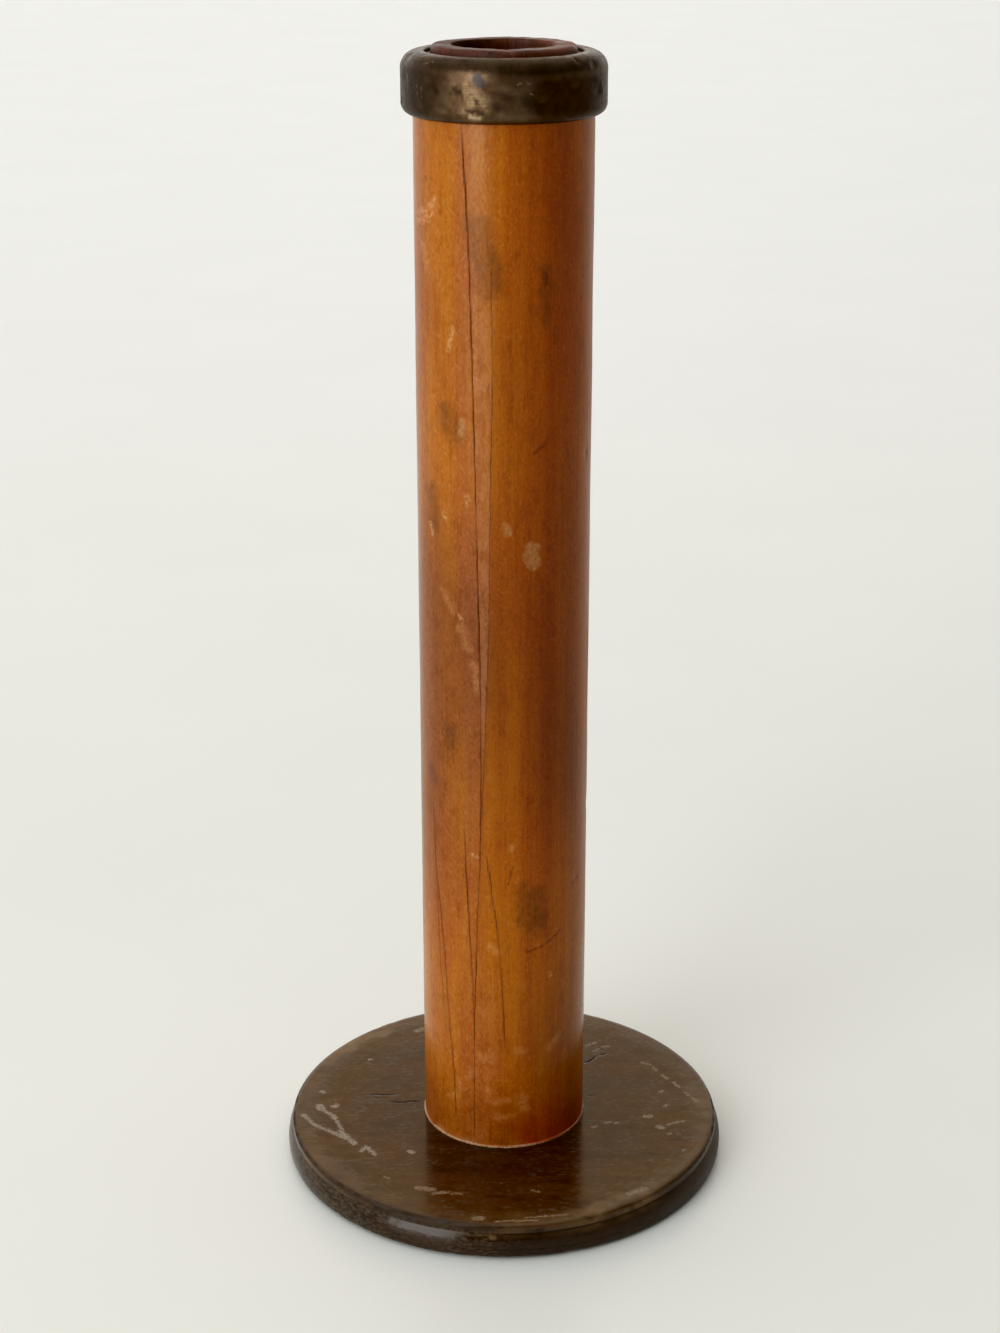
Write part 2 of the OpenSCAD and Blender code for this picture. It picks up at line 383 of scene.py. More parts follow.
def barrel_darker_zones(az, z):
    """How much darker the varnish is made, from 0 to 1: a band across the front, the back, the left of the
    foot, and a band on the right side that is painted shade.
    """
    left = smooth(-110, -70, az)
    front = bell(z, 128, 42) * smooth(24, -20, az) * left
    back = 0.8 * bell(z, 80, 60) * smooth(120, 150, np.abs(az - 10))
    # Painted shade on the right side, away from the window.
    right = 0.55 * bell(z, 125, 32) * smooth(-5, 15, az) * smooth(75, 45, az)
    foot = 0.7 * smooth(34, 14, z) * smooth(30, 0, az) * left
    return np.maximum.reduce((front, back, right, foot))


def barrel_wear(az, r, z, out, up):
    """Cracks, dents, lathe marks and a chipped foot, and the values that colour the barrel: darker zones,
    scuffs, dirt, and painted shade and sheen.
    """
    outside = r > BARREL_R - 0.4
    wall = smooth(0.6, 0.95, out) * outside * (z < TIP_Z)
    depth, dark, dirt = crack_wear(az, z)
    dents = np.zeros_like(az)
    for azimuth, height, radius, deep in BARREL_DENTS:
        distance = np.hypot((az - azimuth) * DEG * BARREL_R, z - height)
        dents = np.maximum(dents, deep * bell(distance, 0, radius / 1.6))
    turned = 0.05 * uneven(1, (90, 45), az, r, z) + 0.016 * uneven(2, (16, 9), az, r, z)
    rings = 0.012 * np.sin(z * 1.9) * smooth(34, 12, z) + 0.012 * np.sin(z * 1.5) * smooth(236, 262, z)
    bare = smooth(HEAD_TOP + 0.7, HEAD_TOP + 0.4, z + 0.15 * uneven(3, (14, 6), az, r, z))
    chips = 0.18 * smooth(0.2, 1, uneven(4, (9, 5), az, r, z)) * bare
    # Painted shade: the right side, away from the window, darker and redder, fading towards the foot and
    # round the back.
    right_side_shade = smooth(-8, 30, az) * (1 - 0.4 * smooth(30, 56, az)) * smooth(160, 120, az)
    right_side_shade *= 0.15 + 0.85 * smooth(20, 120, z)
    return wall * (turned + rings - depth - dents - chips), {
        # Cracks, and the wood under the collar painted dark as shade in the gap round the tip bush.
        "crack_and_tip_shade": np.maximum(dark * wall, 0.9 * (z > TIP_Z + 0.3)),
        "right_side_shade": right_side_shade,
        # Painted shade: redder and darker low on the right, near the foot.
        "red": smooth(24, 11, z) * smooth(0, 18, az) * smooth(160, 120, az),
        # Fine scuffs, and a painted sheen where the window's reflection falls.
        "scuffs_and_sheen": scuffs_and_painted_sheen(az, z),
        "dirt": dirt * wall,
        "bare": bare * outside,
        "darker_zones": np.clip(barrel_darker_zones(az, z) + 0.25 * uneven(5, (60, 34), az, r, 0.6 * z), 0, 1),
    }


def make_barrel():
    section = outline([
        (SPIGOT_R, SPIGOT_Z, 0.3, 3), (SPIGOT_R, HEAD_TOP, 0, 1.5),
        (BARREL_R + FOOT_BEAD, HEAD_TOP, 0.05, 0.2), (BARREL_R + FOOT_BEAD, HEAD_TOP + FOOT_BEAD_H, 0.2, 0.2),
        (BARREL_R, HEAD_TOP + FOOT_BEAD_H + 0.1, 0.1, 1.65), (BARREL_R, TIP_Z, 0, 0.6),
        (TIP_R, TIP_Z, TIP_R - BARREL_R - 0.1, 2), (TIP_R, TIP_TOP, TIP_ROUND, 2),
        (TOP_BUSH_R + GLUE_GAP, TIP_TOP, 0.2, 8), (TOP_BUSH_R + GLUE_GAP, TOP_BUSH_Z, 0, 2),
        (BORE_R, TOP_BUSH_Z, 0.3, 40), (BORE_R, FOOT_BUSH_TOP, 0.3, 2),
        (FOOT_BUSH_R + GLUE_GAP, FOOT_BUSH_TOP, 0, 8), (FOOT_BUSH_R + GLUE_GAP, SPIGOT_Z, 0.2, 2),
    ])
    piece = revolve("barrel_turned", section, turns(1.6, 0.36, CRACK_ZONES), barrel_wear)
    dress(piece, "barrel", barrel_material())


def check_wear(x, y):
    """Depth and darkness of the checks in the head's top ply."""
    depth, dark = np.zeros((2, *x.shape))
    for number, (x0, y0, x1, y1, half_width, deep) in enumerate(HEAD_CHECKS):
        length = math.hypot(x1 - x0, y1 - y0)
        way = ((x1 - x0) / length, (y1 - y0) / length)
        along = (x - x0) * way[0] + (y - y0) * way[1]
        across = (y - y0) * way[0] - (x - x0) * way[1]
        across += 0.16 * np.sin(along * 1.3 + number) + 0.07 * np.sin(along * 3.1 + 2 * number)
        ends = smooth(-0.3, 2.2, along) * smooth(length + 0.3, length - 2.2, along)
        line = np.clip(1 - np.abs(across) / (half_width * (0.4 + 0.6 * ends)), 0, 1) * (ends > 0)
        depth = np.maximum(depth, deep * line * ends)
        dark = np.maximum(dark, np.clip(1.7 * line, 0, 1) * ends)
    return depth, dark


def edge_wear(az):
    """How hard the head's upper edge has been rubbed, from 0 to 1."""
    front_right = bell(az, 33, 12.5)
    back_left = 0.7 * bell(az, -128, 20)
    waves = 0.16 * np.sin(az * DEG * 5 + 0.7) + 0.1 * np.sin(az * DEG * 11 + 2.1)
    return np.clip(0.18 + waves + front_right + back_left, 0.05, 1)


def seam_dirt(az):
    """How much dirt sits in the seam under the top ply, from 0 to 1."""
    waves = 0.1 * np.sin(az * DEG * 7 + 1.1) + 0.1 * np.sin(az * DEG * 17 + 0.4)
    right = 0.85 * smooth(-2, 12, az) * smooth(128, 104, az)
    left = 0.6 * smooth(-128, -104, az) * smooth(-40, -58, az)
    behind = 0.4 * smooth(110, 135, np.abs(az))
    return np.clip(0.04 + waves + right + left + behind, 0, 1)


def edge_dirt(az):
    """How much dirt sits on the head's upper edge, from 0 to 1."""
    left = smooth(-125, -95, az) * smooth(3, -10, az)
    right = 0.8 * smooth(44, 56, az) * smooth(130, 105, az)
    waves = 0.12 * np.sin(az * DEG * 9 + 0.5) + 0.1 * np.sin(az * DEG * 23 + 1.7)
    return np.clip((0.9 + waves) * np.maximum(left, right) + 0.15, 0, 1)


def rim_state(az):
    """Pale dust on the side of the rim, with more at the front left as a painted highlight where the window
    reflects, and how dull it is, for its material.
    """
    # More pale dust on the left, and a bump at the front left that paints the window's highlight.
    left_dust_and_highlight = np.maximum(smooth(-14, -44, az), bell(az, -9, 8))
    left = smooth(-125, -95, az) * smooth(8, -4, az) * (0.35 + 0.65 * left_dust_and_highlight)
    behind = 0.7 * smooth(110, 140, np.abs(az))
    dull = 0.25 + 0.75 * smooth(4, 18, az) * smooth(150, 120, az)
    polished = 0.2 * bell(az, -11, 17)
    return {"dust_and_highlight": np.maximum(0.2, np.maximum(left, behind)), "matt": dull - polished}


def rim_dents(az, r, z):
    """Depth of the small dents in the side of the rim."""
    nicks = smooth(0.55, 1.2, uneven(21, (8, 4.5), az, r, z))
    return 0.03 + 0.025 * uneven(22, (30, 13), az, r, z) + 0.04 * nicks


def seam_height(az, r, z):
    """Height as the uneven seam under the top ply sees it."""
    return z + 0.06 * uneven(14, (25, 12), az, r, z)


def top_ply_wear(az, r, z, out, up):
    """Checks and lathe rings in the head's top, and its rubbed and dirty edge."""
    face = smooth(0.7, 0.98, up)
    rim = smooth(TOP_PLY_R - 3, TOP_PLY_R - 0.5, r) * smooth(-0.2, 0.3, up)
    corner = smooth(0.08, 0.3, up) * smooth(0.985, 0.9, up) * (r > TOP_PLY_R - 2.6)
    depth, dark = check_wear(*flat_place(az, r))
    rubbed = edge_wear(az)
    chip = bell(az, 33.5, 1.6) + 0.7 * bell(az, -3.4, 1.0)
    nibbles = smooth(0.35, 1.1, uneven(11, (7, 4), az, r, z)) * rubbed * smooth(0.5, 0.75, up)
    lathe = 0.012 * np.sin(r * 3.1) * smooth(40, 50, r) + 0.02 * uneven(12, (40, 22), az, r, z) - 0.035
    move = face * (lathe - depth) - rim * (0.05 * rubbed + 0.14 * nibbles + 0.3 * chip)
    band = smooth(TOP_PLY_R - 7.5, TOP_PLY_R - 2.5, r + 1.2 * uneven(13, (11, 5), az, r, z))
    seam = smooth(TOP_PLY_Z + 0.34, TOP_PLY_Z + 0.08, seam_height(az, r, z))
    seam *= seam_dirt(az) * (r > TOP_PLY_R - 1.2)
    # A darker ring on the top round the barrel's foot.
    foot = smooth(BARREL_R + 2.6, BARREL_R + 0.8, r) * face
    return np.minimum(move, 0), {
        "check": dark * face,
        "worn": band * rubbed,
        "dirt_and_shade": np.maximum(seam, 0.3 * foot),
        "edge": corner * edge_dirt(az),
        **rim_state(az),
    }


def rim_radius(z):
    """Radius of the head's rounded rim below the top ply, at a height."""
    above = np.clip((z - RIM_MIDDLE) / (CORE_TOP - RIM_MIDDLE), 0, 1)
    below = np.clip((RIM_MIDDLE - z) / RIM_MIDDLE, 0, 1)
    return HEAD_R - RIM_SHOULDER * above ** 2 - RIM_TAPER * below ** 2 - RIM_FOOT * below ** 7


def core_ply_wear(az, r, z, out, up):
    """Dents and a scar in the middle ply's rim, worn above and dirty in the seam."""
    outside = r > HEAD_R - 2
    rim = smooth(0.3, 0.8, out) * outside
    scar = bell(az, -3, 0.8) * bell(z, CORE_TOP - 0.6, 0.7)
    move = -rim * (rim_dents(az, r, z) + 0.2 * scar)
    seam = smooth(CORE_TOP - 0.3, CORE_TOP - 0.05, seam_height(az, r, z)) * outside
    worn = 0.35 * smooth(CORE_TOP - 1.7, CORE_TOP - 0.6, z) * edge_wear(az) + scar
    return np.minimum(move, 0), {
        "worn": np.clip(worn, 0, 1) * rim,
        "dirt_and_shade": seam * seam_dirt(az),
        **rim_state(az),
    }


def base_ply_wear(az, r, z, out, up):
    """Dents and nicks in the lower ply's rim, lathe rings underneath, and painted shade low on the rim."""
    rim = (r > BASE_PLY_R - 3) * smooth(-0.9, 0.2, out)
    nicks = smooth(0.45, 1.1, uneven(31, (9, 5), az, r, z)) * smooth(2.2, 1.2, z)
    under = smooth(-0.7, -0.98, up)
    rings = 0.035 + 0.025 * np.sin(r * 2.4) + 0.02 * uneven(33, (35, 18), az, r, z)
    worn = smooth(1.6, 0.5, z) * rim * (0.08 + 0.15 * edge_wear(az + 70))
    return np.minimum(-rim * (rim_dents(az, r, z) + 0.14 * nicks) - under * rings, 0), {
        "worn": np.clip(worn, 0, 1),
        # Painted shade: the rim darker towards the floor, where it turns under.
        "dirt_and_shade": 0.75 * smooth(1.8, 0.4, z) * rim,
        **rim_state(az),
    }


def make_head():
    material = head_material()
    lip = rim_radius(CORE_TOP)
    top = outline([
        (PLY_HOLE_R, TOP_PLY_Z, 0, 6), (lip, TOP_PLY_Z, 0.05, 0.3),
        (lip - RIM_SLANT, HEAD_TOP, TOP_PLY_ROUND, 0.6), (PLY_HOLE_R, HEAD_TOP, 0.1, 0.8),
    ])
    core_rim = [(rim_radius(z), z, 0, 9) for z in np.linspace(CORE_Z, CORE_TOP, RIM_ROWS)]
    core = outline([(PLY_HOLE_R, CORE_Z, 0, 6)] + core_rim + [(PLY_HOLE_R, CORE_TOP, 0, 3)])
    base_rim = [(rim_radius(z), z, 0, 9) for z in BASE_TOP * np.linspace(0, 1, RIM_ROWS) ** 1.8]
    base = outline([(PLY_HOLE_R, BASE_Z, 0.2, 0.8)] + base_rim + [(PLY_HOLE_R, BASE_TOP, 0, 3)])
    plies = [
        ("head_top_ply", "flange_top_ply", top, turns(1.2, 0.34, CHECK_ZONES), top_ply_wear),
        ("head_core_ply", "flange_core_ply", core, turns(0.8), core_ply_wear),
        ("head_base_ply", "flange_base_ply", base, turns(0.8), base_ply_wear),
    ]
    for name, node, section, azimuths, wear in plies:
        dress(revolve(name, section, azimuths, wear), node, material)


def collar_wear(az, r, z, out, up):
    """Spinning lines, dings and a nick in the collar, with painted shade on its right, top and left, and a
    painted highlight on its lip.
    """
    down = COLLAR_TOP - z
    outside = smooth(-0.1, 0.4, np.maximum(out, up)) * (r > MOUTH_R + 0.3)
    spun = 0.008 * np.sin(z * 4.3) + 0.03 * uneven(41, (26, 14), az, r, z) - 0.055
    dings = 0.16 * smooth(0.75, 1.3, uneven(42, (8, 5), az, r, z))
    nick = 0.3 * bell(az, 46.5, 1.6) * bell(down, 0.9, 0.6)
    edge = smooth(0.5, 0.1, down) * (r < MOUTH_R + 1.6)
    # Painted highlight: a bright line low on the lip at the front, laid on as bare brass.
    lip = 2.6 * bell(z, COLLAR_Z + 0.95, 0.35) * bell(az, -15, 8) * (out > 0)
    return np.minimum(outside * (spun - dings - nick), 0), {
        "rubbed": edge + 0.6 * smooth(0.5, 1.2, dings * 6) + lip,
        # Painted shade: the collar's wall darker on the right, away from the window.
        "collar_right_shade": smooth(8, 24, az) * smooth(120, 70, az) * smooth(2.7, 5.2, down),
        # Painted shade: the top rounding and the left side darker.
        "collar_top_and_left_shade": np.maximum(smooth(4.3, 1.7, down), smooth(-25, -52, az) * smooth(-150, -110, az)),
    }


def make_collar():
    section = outline([
        (BARREL_R + GLUE_GAP, COLLAR_Z, 0.06, 0.4), (COLLAR_R, COLLAR_Z, COLLAR_FOOT_ROUND, 0.5),
        (COLLAR_R, COLLAR_TOP, COLLAR_ROUND, 0.4), (MOUTH_R, COLLAR_TOP, MOUTH_ROUND, 0.3),
        (MOUTH_R, COLLAR_TOP - SHEET, 0.1, 1.2),
        (COLLAR_R - SHEET, COLLAR_TOP - SHEET, COLLAR_ROUND - SHEET, 1.5),
        (COLLAR_R - SHEET, COLLAR_Z + SHEET, COLLAR_FOOT_ROUND - SHEET, 1),
        (BARREL_R + GLUE_GAP, COLLAR_Z + SHEET, 0.06, 0.4),
    ])
    piece = revolve("collar_spun", section, turns(0.9), collar_wear)
    dress(piece, "top_collar", collar_material())


def bore_wear(seed, az, r, z, out):
    """Depth of the wear down a bush's bore."""
    return smooth(-0.6, -0.95, out) * 0.03 * (1 + uneven(seed, (9, 5), az, r, 0.1 * z))


def top_bush_wear(az, r, z, out, up):
    """Lip of the tip bush, worn down and chipped at the front."""
    lip = smooth(TOP_BUSH_TOP - 2.6, TOP_BUSH_TOP - 0.6, z)
    chip = np.clip(1 - np.abs(az - 3) / 11, 0, 1) * 0.22 + 0.3 * bell(az, 84, 7)
    worn = 0.06 + 0.05 * uneven(51, (22, 11), az, r, z) + 0.03 * uneven(52, (4,), az, r, z)
    move = -lip * smooth(-0.2, 0.6, up) * (worn + chip)
    return np.minimum(move - bore_wear(53, az, r, z, out), 0), {
        "worn": lip * np.clip(0.5 + chip, 0, 1),
        # Painted shade: darker deeper down the bore.
        "deep": smooth(TOP_BUSH_TOP - 1.5, TOP_BUSH_TOP - 11, z),
    }


def foot_bush_wear(az, r, z, out, up):
    """Lower end of the foot bush, rubbed by what it stands on."""
    low = smooth(3, 1, z)
    move = -0.05 * low * (1 + uneven(61, (15, 8), az, r, z))
    # Painted shade: darker deeper into the bore.
    return np.minimum(move - bore_wear(62, az, r, z, out), 0), {"worn": 0.6 * low, "deep": smooth(2, 12, z)}


def make_bushes():
    material = bush_material()
    top = outline([
        (SPINDLE_R, TOP_BUSH_Z, 0.3, 2), (TOP_BUSH_R, TOP_BUSH_Z, 0.3, 3),
        (TOP_BUSH_R, TOP_BUSH_TOP, LIP_OUTER_ROUND, 0.4), (SPINDLE_R, TOP_BUSH_TOP, LIP_INNER_ROUND, 0.8),
    ])
    foot = outline([
        (SPINDLE_R, FOOT_BUSH_Z, 0.5, 0.4), (FOOT_BUSH_R, FOOT_BUSH_Z, 0.3, 3),
        (FOOT_BUSH_R, FOOT_BUSH_TOP, 0.3, 2), (SPINDLE_R, FOOT_BUSH_TOP, 0.3, 1),
    ])
    piece = revolve("tip_bush", top, turns(1.0), top_bush_wear)
    dress(piece, "top_bush", material)
    piece = revolve("foot_bush", foot, turns(1.5), foot_bush_wear)
    dress(piece, "bottom_bush", material)


# Materials

def paint(red, green, blue):
    """Linear colour of an sRGB colour given from 0 to 255."""
    channels = [c / 255 for c in (red, green, blue)]
    return (*[c / 12.92 if c <= 0.04045 else ((c + 0.055) / 1.055) ** 2.4 for c in channels], 1.0)


class Graph:
    """A node tree written as formulas, with the coats of colour that are laid on so far.

    An input is a number, a colour or another node's output.
    """

    def __init__(self, tree):
        self.tree = tree
        self.tree.nodes.clear()
        self.colour = None

    def add(self, kind, inputs, output=0, **settings):
        node = self.tree.nodes.new(kind)
        for name, value in settings.items():
            setattr(node, name, value)
        for key, value in inputs.items():
            if isinstance(value, bpy.types.NodeSocket):
                self.tree.links.new(value, node.inputs[key])
            else:
                node.inputs[key].default_value = value
        return node.outputs[output] if node.outputs else node

    def math(self, operation, *values):
        """One value worked out from two or more, one after the other."""
        total = values[0]
        for value in values[1:]:
            total = self.add("ShaderNodeMath", {0: total, 1: value}, operation=operation)
        return total

    def times(self, *values):
        return self.math("MULTIPLY", *values)

    def plus(self, *values):
        return self.math("ADD", *values)

    def most(self, *values):
        return self.math("MAXIMUM", *values)

    def vector(self, operation, a, b, output=0):
        return self.add("ShaderNodeVectorMath", {0: a, 1: b}, output, operation=operation)

    def split(self, place):
        return self.add("ShaderNodeSeparateXYZ", {0: place}).node.outputs

    def join(self, x, y, z=0.0):
        return self.add("ShaderNodeCombineXYZ", {0: x, 1: y, 2: z})

    def value(self, name):
        return self.add("ShaderNodeAttribute", {}, "Fac", attribute_name=name)

    def place(self):
        """Place on the object in millimetres."""
        return self.vector("MULTIPLY", self.add("ShaderNodeTexCoord", {}, "Object"), [1 / MM] * 3)

    def turned(self, place, angle):
        """Places turned about Z by an angle in degrees."""
        return self.add("ShaderNodeMapping", {"Vector": place, "Rotation": (0, 0, angle * DEG)})

    def noise(self, place, size, stretch=(1, 1, 1), detail=2.0, shift=0.0, output="Fac"):
        """Noise with grains of about the given size in millimetres, drawn out along each axis by stretch."""
        scale = [1 / (size * s) for s in stretch]
        inputs = {"Vector": place, "Location": (shift, shift, shift), "Scale": scale}
        moved = self.add("ShaderNodeMapping", inputs)
        return self.add("ShaderNodeTexNoise", {"Vector": moved, "Scale": 1.0, "Detail": detail}, output)

    def band(self, value, low, high, to_low=0.0, to_high=1.0):
        """Smooth step of a value from to_low at low to to_high at high."""
        inputs = {"Value": value, "From Min": low, "From Max": high, "To Min": to_low, "To Max": to_high}
        return self.add("ShaderNodeMapRange", inputs, interpolation_type="SMOOTHSTEP")

    def mix(self, amount, a, b, how="MIX"):
        """Mix of two colours, which are inputs 6 and 7 and output 2 of the node."""
        return self.add("ShaderNodeMix", {0: amount, 6: a, 7: b}, 2, data_type="RGBA", blend_type=how)

    def cover(self, amount, *rgb):
        """Lays a coat of an sRGB colour over the others."""
        self.colour = self.mix(amount, self.colour, paint(*rgb))

    def tint(self, amount, *rgb):
        """Multiplies the coats by an sRGB colour."""
        self.colour = self.mix(amount, self.colour, paint(*rgb), "MULTIPLY")

    def strokes(self, place, marks, soft):
        """How far a place lies under round-ended strokes between (x, y) ends with a half width."""
        drawn = []
        for x0, y0, x1, y1, half_width in marks:
            length = max(math.hypot(x1 - x0, y1 - y0), 1e-3)
            way = ((x1 - x0) / length, (y1 - y0) / length, 0)
            away = self.vector("SUBTRACT", place, (x0, y0, 0))
            dot = self.vector("DOT_PRODUCT", away, way, "Value")
            along = self.add("ShaderNodeClamp", {"Value": dot, "Min": 0.0, "Max": length})
            nearest = self.add("ShaderNodeVectorMath", {0: way, "Scale": along}, operation="SCALE")
            distance = self.vector("DISTANCE", away, nearest, "Value")
            drawn.append(self.band(distance, half_width + soft, max(half_width - soft, 0)))
        return self.most(*drawn)

    def ragged(self, place, size, amount):
        """Places pushed about by noise, so that marks drawn there get ragged edges."""
        push = self.noise(place, size, detail=3.0, output="Color")
        push = self.vector("SUBTRACT", push, (0.5, 0.5, 0.5))
        return self.vector("ADD", place, self.vector("MULTIPLY", push, (amount, amount, 0)))

    def bump(self, height, depth, before=None):
        """Normal of a surface raised by height times a depth in millimetres."""
        inputs = {"Height": height, "Distance": depth * MM}
        if before is not None:
            inputs["Normal"] = before
        return self.add("ShaderNodeBump", inputs)

    def surface(self, inputs):
        shader = self.add("ShaderNodeBsdfPrincipled", {"Base Color": self.colour, **inputs})
        self.add("ShaderNodeOutputMaterial", {"Surface": shader})


def new_material(name):
    material = bpy.data.materials.new(name)
    material.use_nodes = True
    return material, Graph(material.node_tree)


def on_wall(marks, radius):
    """Strokes given in azimuth and height, laid out flat in millimetres."""
    arc = radius * DEG
    return [(a0 * arc, z0, a1 * arc, z1, half_width) for a0, z0, a1, z1, half_width in marks]


def unrolled(g, place, radius):
    """Places on a cylinder's wall laid out flat: arc length from the front, and height."""
    x, y, z = g.split(place)
    return g.join(g.times(g.math("ARCTAN2", x, g.times(y, -1.0)), radius), z)


def barrel_grain(g, place):
    """Coats of the barrel's grain. Gives the noises that its other coats read as well."""
    broad = g.noise(place, 5, (1, 1, 30), 3.0)
    zone = g.noise(place, 17, (1, 1, 2.6), 3.0, 11.0)
    fibre = g.noise(place, 0.6, (1, 1, 40), 3.0, 7.0)
    pores = g.noise(place, 0.4, (1, 1, 6), 2.0, 3.0)
    speckle = g.noise(place, 0.6, (1, 1, 1.6), 3.0, 15.0)
    mottle = g.noise(place, 2.6, (1, 1, 1.6), 5.0, 5.0)
    fine = g.noise(place, 0.32, (1, 1, 2.5), 4.0, 31.0)
    g.colour = g.mix(g.band(broad, 0.3, 0.7), paint(160, 87, 3), paint(174, 104, 8))
    g.cover(g.band(zone, 0.5, 0.7, 0, 0.45), 152, 73, 3)
    g.tint(g.band(fibre, 0.44, 0.72, 0, 0.34), 212, 184, 146)
    g.tint(g.band(pores, 0.58, 0.72, 0, 0.25), 180, 140, 100)
    g.cover(g.band(speckle, 0.54, 0.74, 0, 0.24), 208, 142, 72)
    g.tint(g.band(speckle, 0.47, 0.3, 0, 0.36), 200, 170, 140)
    g.tint(g.band(fine, 0.5, 0.7, 0, 0.3), 206, 180, 150)
    g.tint(g.band(mottle, 0.5, 0.3, 0, 0.3), 206, 180, 150)
    return zone, fibre, pores, speckle, mottle


def barrel_scuffs(g, place, wall, mottle):
    """Fine pale scuffs on the barrel: level, slanting, and in lines near the foot."""
    scuffed = g.noise(place, 0.9, (5, 5, 1), 3.0, 27.0)
    rising = g.band(g.noise(g.turned(wall, 38), 0.5, (9, 1, 1), 2.0, 41.0), 0.62, 0.74)
    falling = g.band(g.noise(g.turned(wall, -52), 0.5, (8, 1, 1), 2.0, 43.0), 0.62, 0.74)
    rubbed = g.times(g.band(scuffed, 0.6, 0.72), g.band(mottle, 0.46, 0.6))
    g.cover(g.times(rubbed, 0.1), 214, 150, 92)
    slanting = g.times(g.most(rising, falling), g.band(g.value("scuffs_and_sheen"), 0, 0.4, 0.06, 0.24))
    g.cover(slanting, 214, 160, 118)
    lines = g.noise(place, 0.28, (9, 9, 1), 2.0, 33.0)
    near_foot = g.band(g.split(place)[2], 44, 26)
    lined = g.times(g.band(lines, 0.58, 0.72), g.band(mottle, 0.4, 0.62), near_foot)
    g.cover(g.times(lined, 0.22), 214, 158, 108)


def barrel_material():
    """Honey-amber varnished wood with fibres along Z, cracks, dents and rubbed marks."""
    material, g = new_material("barrel_wood")
    place = g.place()
    wall = unrolled(g, place, BARREL_R)
    rough_wall = g.ragged(wall, 1.2, 0.9)
    zone, fibre, pores, speckle, mottle = barrel_grain(g, place)
    barrel_scuffs(g, place, wall, mottle)

    patchy = g.band(g.noise(place, 0.8, detail=4.0, shift=21.0), 0.34, 0.66)
    dark = g.strokes(g.ragged(wall, 3.4, 5.0), on_wall(DARK_MARKS, BARREL_R), 2.2)
    dark = g.times(dark, g.band(mottle, 0.3, 0.66, 0.24, 0.6))
    dull = g.strokes(rough_wall, on_wall(DULL_MARKS, BARREL_R), 0.5)
    dull = g.times(dull, g.plus(g.times(patchy, 0.6), 0.4))
    pale = g.times(g.strokes(rough_wall, on_wall(PALE_MARKS, BARREL_R), 0.55), patchy)
    smudge = g.strokes(g.ragged(wall, 2.0, 2.6), on_wall(SMUDGES, BARREL_R), 1.2)
    smudge = g.times(smudge, g.band(patchy, 0, 1, 0.4, 1.0))
    scratch = g.strokes(rough_wall, on_wall(DARK_SCRATCHES, BARREL_R), 0.45)
    scratch = g.times(scratch, g.band(patchy, 0, 1, 0.45, 1.0))
    crack_and_tip_shade = g.value("crack_and_tip_shade")
    bare = g.times(g.value("bare"), g.plus(g.times(patchy, 0.7), 0.3))
    blotches = g.plus(g.times(mottle, 0.5), g.times(speckle, 0.5))
    scuffs_and_sheen = g.times(g.value("scuffs_and_sheen"), g.band(blotches, 0.34, 0.62, 0.08, 0.3))

    # Darker zones of varnish, of which the band on the right is painted shade.
    g.tint(g.value("darker_zones"), 197, 186, 170)
    # Fine scuffs, and a painted sheen where the window's reflection falls.
    g.cover(scuffs_and_sheen, 184, 129, 98)
    # Painted shade on the right side of the barrel.
    g.tint(g.value("right_side_shade"), 222, 192, 150)
    # Painted shade: redder and darker low on the right, near the foot.
    g.tint(g.value("red"), 246, 196, 210)
    g.tint(dark, 140, 142, 118)
    g.cover(g.times(dull, 0.36), 190, 156, 112)
    g.cover(g.times(smudge, 0.28), 208, 150, 102)
    g.cover(g.times(pale, 0.48), 222, 172, 126)
    g.tint(g.times(g.value("dirt"), 0.4), 160, 120, 88)
    g.tint(g.times(scratch, 0.6), 140, 106, 78)
    g.cover(g.times(bare, 0.52), 210, 188, 162)
    # Cracks, and painted shade on the wood under the collar.
    g.cover(g.times(crack_and_tip_shade, 0.8), 60, 28, 9)

    rough = g.plus(g.band(zone, 0.3, 0.7, 0.22, 0.32), g.times(g.value("right_side_shade"), 0.16))
    rough = g.plus(rough, g.times(g.most(dull, pale, crack_and_tip_shade, bare), 0.2))
    height = g.plus(g.times(fibre, 0.5), g.times(g.plus(pores, speckle, mottle), -0.4))
    normal = g.bump(height, 0.04)
    normal = g.bump(g.times(g.most(scratch, g.times(pale, 0.5)), -1.0), 0.05, normal)
    g.surface({"Roughness": rough, "Normal": normal, "IOR": 1.35})
    return material


